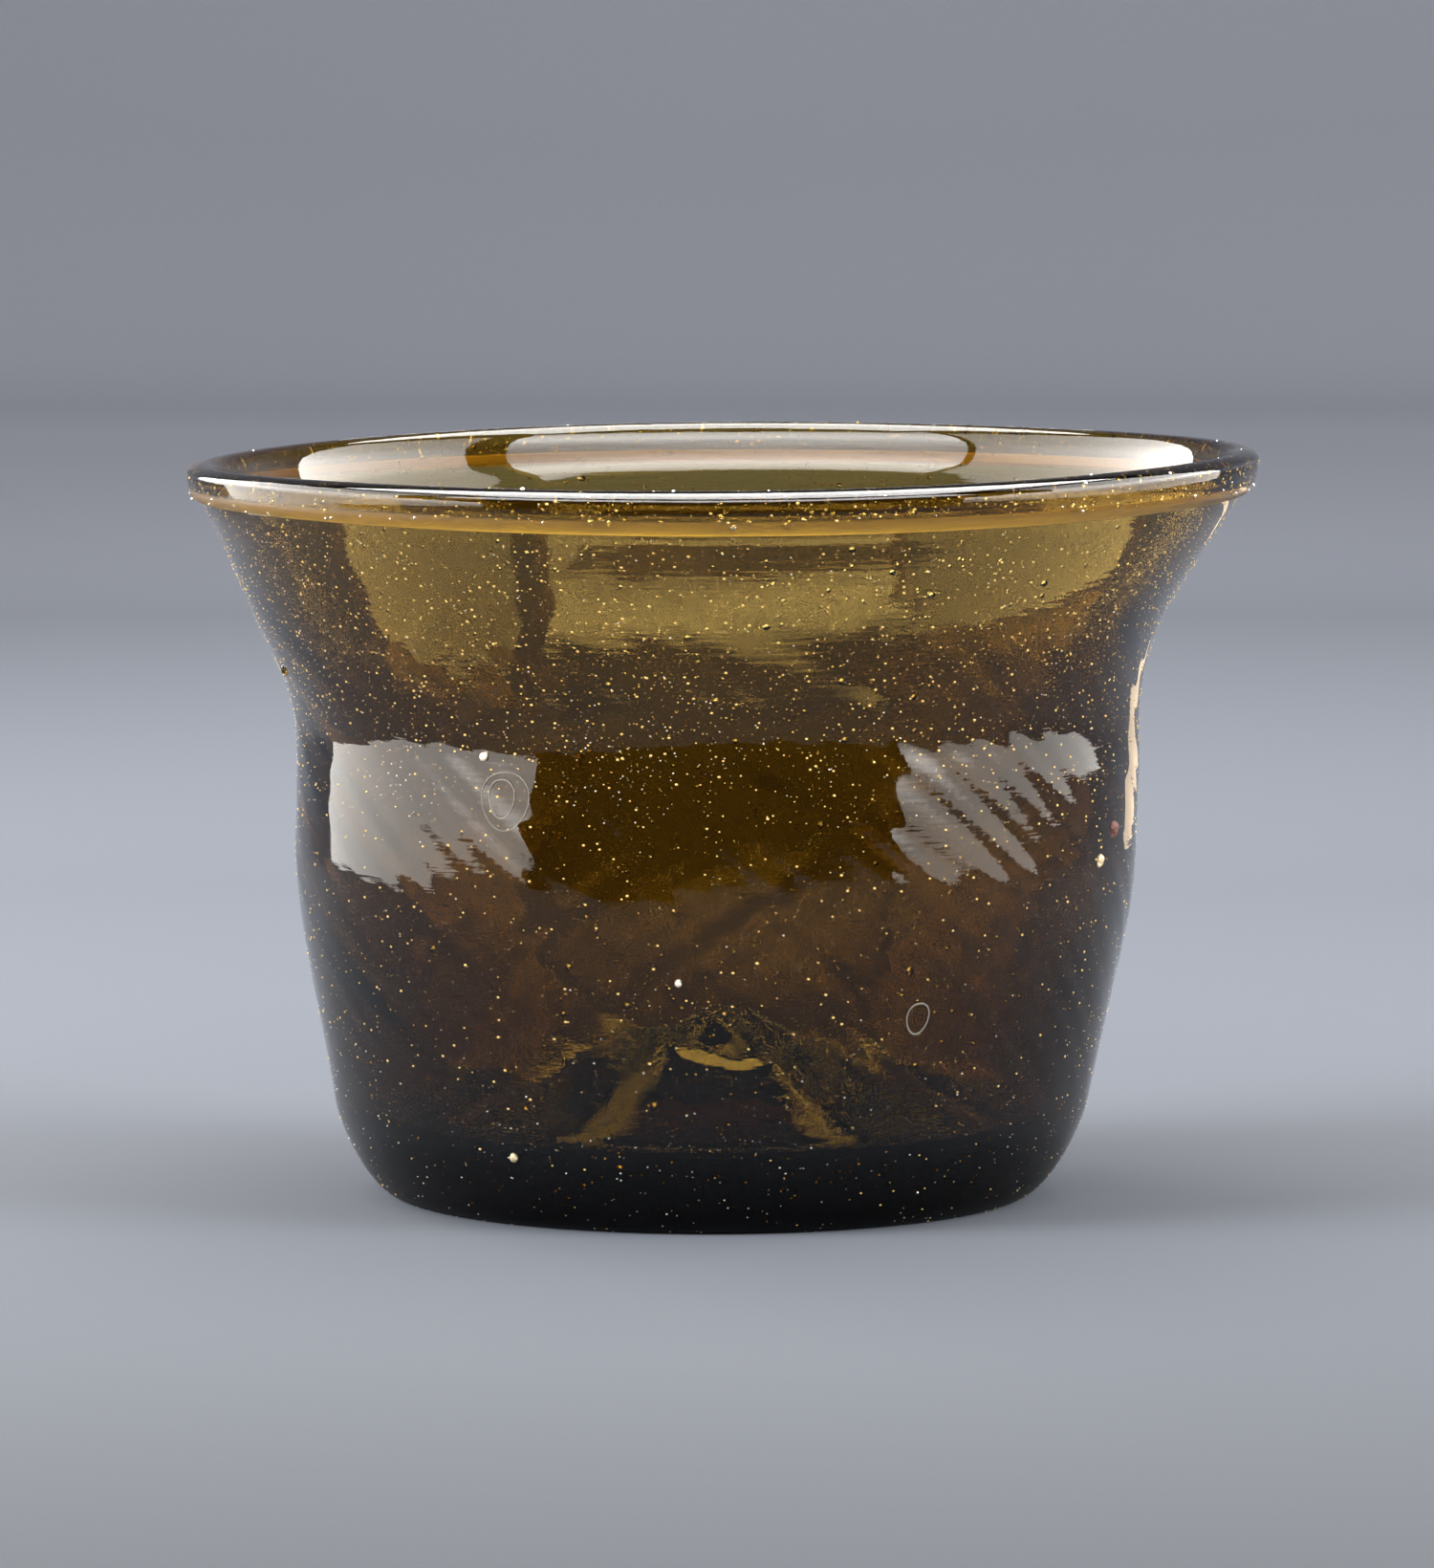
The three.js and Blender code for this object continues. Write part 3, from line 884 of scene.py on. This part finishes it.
def seam_earth(z):
    """A thin ring of fine earth caught in the seam behind the lap's lower edge."""
    heights = z.crest_height - np.linspace(*EARTH_DROPS, EARTH_POINTS)
    radii = wall_radius(z, heights)
    near, far = (np.column_stack([radii + z.seam_gap * share, heights]) for share in EARTH_SHARES)
    return lap_ring(z, "seam_earth", np.vstack([near, far[::-1]]))


def lapped(z, points):
    """Points of the lap moved to where it hangs less low at its two sides, still along the wall."""
    angle = np.arctan2(points[:, 1], points[:, 0])
    uneven = FOLD_UNEVEN * np.cos(angle) - FOLD_SIDE * np.cos(angle) ** 2
    height = z.crest_height - (z.crest_height - points[:, 2]) * (1 + uneven)
    out = wall_radius(z, height) - wall_radius(z, points[:, 2])
    return np.column_stack([points[:, 0] + out * np.cos(angle), points[:, 1] + out * np.sin(angle), height])


class BOWL_OT_pontil_wad(bpy.types.Operator):
    """Leave the ragged wad of the pontil rod under the kick"""

    bl_idname = "bowl.pontil_wad"
    bl_label = "Pontil wad"

    def execute(self, context):
        glass = blown_amber_glass(context.scene.bowl_glass, "wad_amber_glass")
        finish_piece(rough_copy("pontil_wad", *WAD_ROUGHNESS), glass, "amber_glass", "pontil_wad")
        return {"FINISHED"}


def wall_sheet(z):
    """The middle surface of the wall, which carries half its thickness and the share of bubbles."""
    line, half_wall = middle_of_wall(z)
    points = by_hand(z, round_about(line[1:]))
    return sheet_of_rings("seed_sheet", points, np.repeat(half_wall[1:], COLUMNS))


def lap_sheet(z):
    """The middle surface of the lap, between the wall and the lap's outer face."""
    low = z.crest_height - z.fold_height + LAP_SHEET_MARGINS[0]
    heights = np.linspace(low, z.crest_height - LAP_SHEET_MARGINS[1], LAP_SHEET_POINTS)
    half_lap = z.fold_thickness / 2
    line = np.column_stack([wall_radius(z, heights) + z.seam_gap + half_lap, heights])
    return sheet_of_rings("seed_sheet", by_hand(z, round_about(line)), half_lap * LAP_SHEET_DEPTH)


class BOWL_OT_seed(bpy.types.Operator):
    """Trap fine and coarse bubbles of air between the two faces of the wall and in the lap"""

    bl_idname = "bowl.seed"
    bl_label = "Seed bubbles"

    def execute(self, context):
        z, look = context.scene.bowl_sizes, context.scene.bowl_glass
        air = trapped_air("trapped_air")
        # Name, sheet, density, random seed, least and greatest radius in millimetres, how rare large
        # ones are, and fineness of the mesh
        kinds = (
            ("seed_fine", wall_sheet, look.fine_seed, 3, (0.07, 0.14), 1.4, 1),
            ("seed_middling", wall_sheet, look.middle_seed, 8, (0.13, 0.23), 1.8, 1),
            ("seed_coarse", wall_sheet, look.coarse_seed, 12, (0.2, 0.42), 3, 2),
            ("seed_lap", lap_sheet, look.lap_seed, 21, (0.1, 0.28), 1.8, 2),
        )
        for name, sheet_of, density, seed, sizes, rarity, fineness in kinds:
            seeds = scattered(name, sheet_of(z), density, seed, sizes, rarity, SEED_FORM, fineness, air)
            finish_piece(seeds, air, "amber_glass")
        return {"FINISHED"}


class BOWL_OT_specks(bpy.types.Operator):
    """Fill the burst seed at the outer face with dried lime, the warm specks partly painted glints of the
    seed, and leave the rims that drops dried to
    """

    bl_idname = "bowl.specks"
    bl_label = "Lime specks"

    def execute(self, context):
        z, look = context.scene.bowl_sizes, context.scene.bowl_glass
        pale = dried_lime("pale_lime", tuple(look.lime), 0.7)
        # The warm lime's gold is painted glint of the seed, on lime specks at the outer face and on the lap.
        warm = dried_lime("lime_and_painted_glint", tuple(look.lime_and_painted_glint), 0.6)
        # Name, sheet, material, slot, density, random seed, least and greatest radius in millimetres
        kinds = (
            ("specks_pale", dusty_sheet, pale, "white_stone", look.pale_specks, 31, (0.03, 0.09)),
            ("specks_warm", outer_sheet, warm, "cream_stone", look.warm_specks, 37, (0.04, 0.15)),
            ("specks_lap", lap_face, warm, "cream_stone", look.lap_specks, 41, (0.06, 0.17)),
        )
        for name, sheet_of, lime, slot, density, seed, sizes in kinds:
            sheet = sheet_of(z, look)
            specks = scattered(name, sheet, density, seed, sizes, SPECK_RARITY, SPECK_FORM, 1, lime)
            finish_piece(specks, lime, slot)
        film = dried_lime("lime_film", tuple(look.film), 0.7)
        for order, mark in enumerate(RING_MARKS, 1):
            finish_piece(ring_mark(z, f"ring_mark_{order}", *mark), film, "white_stone")
        return {"FINISHED"}


def ring_mark(z, name, bearing, height, half_width, half_height):
    """A thin dried rim of lime that a drop left on the outer face, more than half sunk in the glass."""
    turn, tube = np.meshgrid(full_turn(MARK_POINTS), full_turn(MARK_SIDES), indexing="ij")
    turn, tube = turn.ravel(), tube.ravel()
    wide = 1 + MARK_UNEVEN * (np.sin(2 * turn + 1) + np.sin(3 * turn))
    reach = wide + MARK_THICKNESS / half_width * np.cos(tube)
    level = height * MM + half_height * MM * reach * np.sin(turn)
    radius = wall_radius(z, level)
    angle = math.radians(bearing) + half_width * MM * reach * np.cos(turn) / radius
    radius += MARK_THICKNESS * MM * (MARK_PROUD_SHARE * np.sin(tube) - MARK_SUNK_SHARE)
    points = by_hand(z, np.column_stack([radius * np.cos(angle), radius * np.sin(angle), level]))
    faces = grid_faces(MARK_POINTS, MARK_SIDES, 0, True)
    return smooth_mesh(name, points, [face[::-1] for face in faces])


def dusty_sheet(z, look):
    """The outer face, which carries more specks at its dusty spots and at the heel."""
    return outer_sheet(z, look, PALE_HEEL_SHARE, DUSTY_SPOTS)


def outer_sheet(z, look, heel_share=WARM_HEEL_SHARE, spots=()):
    """The outer face with its unevenness, which carries no depth and other shares at neck and heel."""
    line = outer_face(z)

    def push(row, angle):
        return unevenness(look, OUTER, angle, line[row, 0], line[row, 1])

    swept = round_about(line, push)
    neck = between(swept[:, 2], *NECK_BAND)
    heel = between(swept[:, 2], *HEEL_BAND)
    weight = BODY_SHARE + neck + heel_share * heel
    around = np.degrees(np.arctan2(swept[:, 1], swept[:, 0]))
    for bearing, height, spread, share in spots:
        across = np.radians(around - bearing) * z.waist_radius
        apart = np.hypot(across, swept[:, 2] - height * MM) / (spread * MM)
        weight += share * np.exp(-(apart**2))
    return sheet_of_rings("speck_sheet", by_hand(z, swept), weight=weight)


def lap_face(z, look):
    """The flat front of the lap, which carries no depth."""
    drops = np.linspace(FOLD_SHOULDER_DROP, FOLD_BELLY_DROP, LAP_FACE_POINTS)
    inset = FOLD_BELLY_INSET * (drops - drops[0]) / (drops[-1] - drops[0])
    line = np.column_stack([z.crest_radius + z.fold_thickness - inset, z.crest_height - drops])[::-1]
    return sheet_of_rings("speck_sheet", by_hand(z, lapped(z, round_about(line))))


class BOWL_OT_grains(bpy.types.Operator):
    """Seat the unmelted stones, the chips and the knot where their solids lie"""

    bl_idname = "bowl.grains"
    bl_label = "Stones and knot"

    def execute(self, context):
        look = context.scene.bowl_glass
        white = unmelted_stone("white_stone", tuple(look.white_stone), 0.8)
        cream = unmelted_stone("cream_stone", tuple(look.cream_stone), 0.6)
        red = unmelted_stone("red_stone", tuple(look.red_stone), 0.4)
        knot = blown_amber_glass(look, "knot_glass")
        kinds = {
            "stone_white_high": (white, "white_stone"),
            "stone_white_low": (white, "white_stone"),
            "stone_cream": (cream, "cream_stone"),
            "chip_pale": (cream, "cream_stone"),
            "chip_red": (red, "red_stone"),
            "knot_amber": (knot, "knot_glass"),
        }
        for name, (material, slot) in kinds.items():
            finish_piece(rough_copy(name, *GRAIN_ROUGHNESS), material, slot, name)
        return {"FINISHED"}


def rough_copy(name, cuts, size_share, rough_share, fineness):
    """A piece with the place and nearly the size of its solid and a finer, rougher surface."""
    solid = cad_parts[name]
    shape = bmesh.new()
    shape.from_mesh(solid.data)
    shape.transform(solid.matrix_world)
    bmesh.ops.remove_doubles(shape, verts=shape.verts, dist=MERGE_DISTANCE)
    bmesh.ops.subdivide_edges(shape, edges=shape.edges, cuts=cuts, smooth=EDGE_ROUNDING, use_grid_fill=True)
    bmesh.ops.recalc_face_normals(shape, faces=shape.faces)
    centre = sum((v.co for v in shape.verts), Vector()) / len(shape.verts)
    for v in shape.verts:
        out = v.co - centre
        v.co = centre + out * (size_share - rough_share * noise.noise(v.co * fineness))
    mesh = bpy.data.meshes.new(name + "_look")
    shape.to_mesh(mesh)
    shape.free()
    return placed(name + "_look", mesh)


class BOWL_OT_stage(bpy.types.Operator):
    """Set up the floor, the backdrop, the silks and the camera"""

    bl_idname = "bowl.stage"
    bl_label = "Studio"

    def execute(self, context):
        s = context.scene.bowl_studio
        make_floor(s)
        make_lights(s)
        make_camera(s)
        return {"FINISHED"}


# Studio, in metres. The paper's stops are a place and its painted shade, which stands in for light falling
# off: its front edge, under the bowl, behind it, halfway back, far back, and two up its rise.

PAPER_PAINTED_SHADE = ((-0.25, 0.03), (0, 0.06), (0.3, 0.09), (0.75, 0.2), (1.25, 0.65), (1.4, 0.65), (1.5, 0.55))
# Painted shade across the paper: a little darker at both sides.
PAPER_PAINTED_SIDE_SHADE = ((-0.2, 0.95), (0, 0.97), (0.2, 0.95))
# Painted shade round the foot, seen in reflections only: the paper darkens within 5 cm of the axis.
FOOT_SHADE = ((0, 0.2), (0.034, 0.2), (0.05, 1), (0.09, 1))
FLOOR_FRONT = -0.245
FLOOR_NEAR = 0.3
FLOOR_REACH = 1.35
FLOOR_BEND = 0.25
FLOOR_WALL = 1.3
FLOOR_RINGS = 7
BEND_STEPS = 9
FLOOR_CORNERS = 96
ROOM = "272729"

# Silks and the card. The overhead's edges and bright line are in degrees up from the bowl's middle. Side
# edges are a place along Y and the lowest and highest point there; the card's have X as well. A silk's
# grades are a height, and along it a place along Y, each with its share of the light.

BOWL_MIDDLE = 0.04
OVERHEAD_REACH = 0.8
OVERHEAD_EDGES = (16, 31, 49)
OVERHEAD_BEARINGS = (-63, 54)
OVERHEAD_COLUMNS = 16
OVERHEAD_FADE = 0.8
OVERHEAD_SHARES = (0.21, 1, 0.75, 0.4)
SIDE_GRADES = ((0.02, 0.38), (0.045, 0.4), (0.085, 1), (0.12, 1), (0.2, 0.58), (0.3, 0.46), (0.4, 0.38))
SIDE_ALONG = ((-0.26, 0.8), (-0.12, 0.95), (0, 1), (0.2, 1.3))
SIDE_SLANT = 0.12
SIDE_EDGES = (
    (-0.256, 0.001, 0.06), (-0.12, 0.001, 0.08), (-0.11, 0.001, 0.4), (0.2, 0.001, 0.4),
    (0.21, 0.06, 0.4), (0.45, 0.06, 0.4),
)
RIGHT_EDGES = ((-0.256, 0.001, 0.06), (-0.12, 0.001, 0.08), (-0.11, 0.005, 0.4), (0.2, 0.024, 0.4))
SIDE_SILKS = (("silk_left", -0.29, SIDE_EDGES, 1), ("silk_right", 0.29, RIGHT_EDGES, 0.75))
SIDE_LOW = 0.05
CARD_EDGES = ((0.115, 0.3, 0.009, 0.012), (0.15, 0.292, 0.005, 0.017), (0.2, 0.28, 0.003, 0.019))

# Lamps: a place, a width and a depth. The strips have their place along X and share of the light apart.

BOX_ABOVE = ((0, 0.12, 0.8), 0.9, 0.85)
CEILING = ((0, 0.1, 1.6), 2.2, 2.2)
STRIPS = (("strip_left", -1.15, 1), ("strip_right", 1.15, 0.75))
STRIP_PLACE = (-0.42, 0.3)
STRIP_SIZE = (0.8, 0.35)
STRIP_SPREAD = math.radians(50)

# Camera

CAMERA_PITCH = math.radians(5.408)
CAMERA_ASIDE = -0.6 * MM
SENSOR_WIDTH = 36
CLIP_START = 0.05


def make_floor(s):
    """A round floor that turns up into a wall. Its part beyond the table's front edge doesn't mirror."""
    near_rings = np.linspace(0, FLOOR_NEAR, FLOOR_RINGS)[1:]
    far_rings = np.linspace(FLOOR_NEAR, FLOOR_REACH, FLOOR_RINGS + 1)[1:]
    line = [(r, 0.0) for r in (*near_rings, *far_rings)]
    for turn in np.linspace(0, math.pi / 2, BEND_STEPS)[1:]:
        line.append((FLOOR_REACH + FLOOR_BEND * math.sin(turn), FLOOR_BEND * (1 - math.cos(turn))))
    line.append((FLOOR_REACH + FLOOR_BEND, FLOOR_WALL))
    angle = full_turn(FLOOR_CORNERS)
    points = [(r * math.cos(a), r * math.sin(a), h) for r, h in line for a in angle] + [(0, 0, 0)]
    faces = [face[::-1] for face in grid_faces(len(line), FLOOR_CORNERS, 0)]
    faces += [[len(points) - 1, c, (c + 1) % FLOOR_CORNERS] for c in range(FLOOR_CORNERS)]
    near, beyond = [], []
    for face in faces:
        middle = sum(points[i][1] for i in face) / len(face)
        (beyond if middle < FLOOR_FRONT else near).append(face)
    paper = studio_paper("studio_paper", tuple(s.floor_colour))
    for name, some in (("floor", near), ("floor_beyond", beyond)):
        used = sorted({i for face in some for i in face})
        place = {old: new for new, old in enumerate(used)}
        part = smooth_mesh(name, [points[i] for i in used], [[place[i] for i in face] for face in some])
        part.data.materials.append(paper)
        part.visible_glossy = name == "floor"
    world = bpy.data.worlds.new("studio_room")
    bpy.context.scene.world = world
    world.use_nodes = True
    world.node_tree.nodes["Background"].inputs["Color"].default_value = (*linear(ROOM), 1)


def lit_silk(name, radiance, grades, colour, along=((-1, 1), (1, 1)), slant=0):
    """Diffusion silk lit from behind, seen from its front only. Its grades give shares of its light at
    heights, which rise along Y by the slant, and at places along Y."""
    material, tree, output = new_material(name)
    place = object_coordinates(tree)
    glow = radiance
    for direction, stops in (((0, -slant, 1), grades), ((0, 1, 0), along)):
        run = node(tree, "ShaderNodeVectorMath", {"operation": "DOT_PRODUCT"}, i0=place, i1=direction)
        glow = combined(tree, "MULTIPLY", graded(tree, run.outputs["Value"], stops), glow)
    shine = node(tree, "ShaderNodeEmission", Color=(*linear(colour), 1), Strength=glow).outputs[0]
    clear = node(tree, "ShaderNodeBsdfTransparent").outputs[0]
    turned = node(tree, "ShaderNodeNewGeometry").outputs["Backfacing"]
    mixed = node(tree, "ShaderNodeMixShader", i0=turned, i1=shine, i2=clear)
    tree.links.new(mixed.outputs[0], output.inputs["Surface"])
    return material


def silk(name, columns, material):
    """A sheet of silk through columns of a lower and an upper point, its front towards the bowl."""
    points = [point for column in columns for point in column]
    faces = [[2 * i, 2 * i + 1, 2 * i + 3, 2 * i + 2] for i in range(len(columns) - 1)]
    sheet = smooth_mesh(name, points, faces)
    centre = np.mean(np.array(points), axis=0)
    if np.dot(sheet.data.polygons[0].normal, np.array([0, 0, BOWL_MIDDLE]) - centre) < 0:
        sheet.data.flip_normals()
    sheet.data.materials.append(material)
    sheet.visible_camera = False
    sheet.visible_shadow = False
    return sheet


def overhead_silk(s):
    """A curved silk overhead in front, dimmer towards its lower edge."""
    reach = OVERHEAD_REACH
    low, bright, high = (BOWL_MIDDLE + reach * math.tan(math.radians(e)) for e in OVERHEAD_EDGES)
    columns = []
    for bearing in np.radians(np.linspace(*OVERHEAD_BEARINGS, OVERHEAD_COLUMNS)):
        x, y = reach * math.sin(bearing), -reach * math.cos(bearing)
        columns.append(((x, y, low), (x, y, high)))
    grades = tuple(zip((low, bright, OVERHEAD_FADE * high, high), OVERHEAD_SHARES))
    silk("silk_overhead", columns, lit_silk("silk_overhead", s.front_light, grades, "FFFFFF"))


def side_silks(s):
    """A tall silk on each side, with a low board in front of it that stands on the floor."""
    for name, x, edges, share in SIDE_SILKS:
        columns = [((x, y, low), (x, y, high)) for y, low, high in edges]
        grades = [(height, one * (share if height < SIDE_LOW else 1)) for height, one in SIDE_GRADES]
        silk(name, columns, lit_silk(name, s.side_light, grades, "FFFDF9", SIDE_ALONG, SIDE_SLANT))


def soft_box(name, place, width, depth, radiance):
    """A soft rectangular lamp that faces the bowl from its place."""
    light = bpy.data.lights.new(name, "AREA")
    light.shape = "RECTANGLE"
    light.size = width
    light.size_y = depth
    light.energy = radiance * math.pi * width * depth
    lamp = placed(name, light)
    lamp.location = place
    lamp.rotation_euler = (-Vector(place)).to_track_quat("-Z", "Y").to_euler()
    lamp.visible_camera = False
    return lamp


def strip_lamps(s):
    """Two distant cool lamps, low in front at each side, that light the floor only."""
    lit = bpy.data.collections.new("strip_floor")
    for part in ("floor", "floor_beyond"):
        lit.objects.link(bpy.data.objects[part])
    for name, x, share in STRIPS:
        lamp = soft_box(name, (x, *STRIP_PLACE), *STRIP_SIZE, s.strip_light * share)
        lamp.data.spread = STRIP_SPREAD
        lamp.data.color = linear("F1F9FF")
        lamp.light_linking.receiver_collection = lit
        lamp.visible_glossy = False
        lamp.visible_transmission = False


def warm_card(s):
    """A small warm card low behind the bowl on the right, seen only as a reflection."""
    columns = [((x, y, low), (x, y, high)) for x, y, low, high in CARD_EDGES]
    card = silk("warm_card", columns, lit_silk("warm_card", s.card_light, ((0, 1), (1, 1)), "FFE7CB"))
    card.visible_transmission = False
    card.visible_diffuse = False


def make_lights(s):
    """Silks overhead and at the sides, a box and a ceiling light above, strips and a warm card."""
    overhead_silk(s)
    side_silks(s)
    soft_box("box_above", *BOX_ABOVE, s.top_light)
    soft_box("ceiling", *CEILING, s.fill_light).visible_glossy = False
    strip_lamps(s)
    warm_card(s)


def make_camera(s):
    """The photograph's viewing angle: a long lens, looking a little down."""
    data = bpy.data.cameras.new("camera")
    data.lens = s.lens
    data.sensor_width = SENSOR_WIDTH
    data.clip_start = CLIP_START
    camera = placed("camera", data)
    camera.location = (CAMERA_ASIDE, -s.camera_distance, s.camera_height)
    camera.rotation_euler = (math.pi / 2 - CAMERA_PITCH, 0, 0)
    bpy.context.scene.camera = camera
    bpy.context.scene.view_settings.view_transform = "Standard"


class BOWL_PT_panel(bpy.types.Panel):
    """Sidebar list of the bowl's pieces"""

    bl_label = "Glass bowl"
    bl_idname = "BOWL_PT_panel"
    bl_space_type = "VIEW_3D"
    bl_region_type = "UI"
    bl_category = "Glass Bowl"

    def draw(self, context):
        for operator in OPERATORS:
            self.layout.operator(operator.bl_idname)


SETTINGS = (BowlSizes, GlassLook, StudioLook)
OPERATORS = (
    BOWL_OT_wall, BOWL_OT_rim_fold, BOWL_OT_pontil_wad, BOWL_OT_seed, BOWL_OT_specks, BOWL_OT_grains,
    BOWL_OT_stage,
)


def register():
    for cls in (*SETTINGS, *OPERATORS, BOWL_PT_panel):
        bpy.utils.register_class(cls)
    bpy.types.Scene.bowl_sizes = PointerProperty(type=BowlSizes)
    bpy.types.Scene.bowl_glass = PointerProperty(type=GlassLook)
    bpy.types.Scene.bowl_studio = PointerProperty(type=StudioLook)


def unregister():
    del bpy.types.Scene.bowl_sizes
    del bpy.types.Scene.bowl_glass
    del bpy.types.Scene.bowl_studio
    for cls in reversed((*SETTINGS, *OPERATORS, BOWL_PT_panel)):
        bpy.utils.unregister_class(cls)


def main():
    register()
    for operator in OPERATORS:
        group, name = operator.bl_idname.split(".")
        getattr(getattr(bpy.ops, group), name)()


if __name__ == "__main__":
    main()
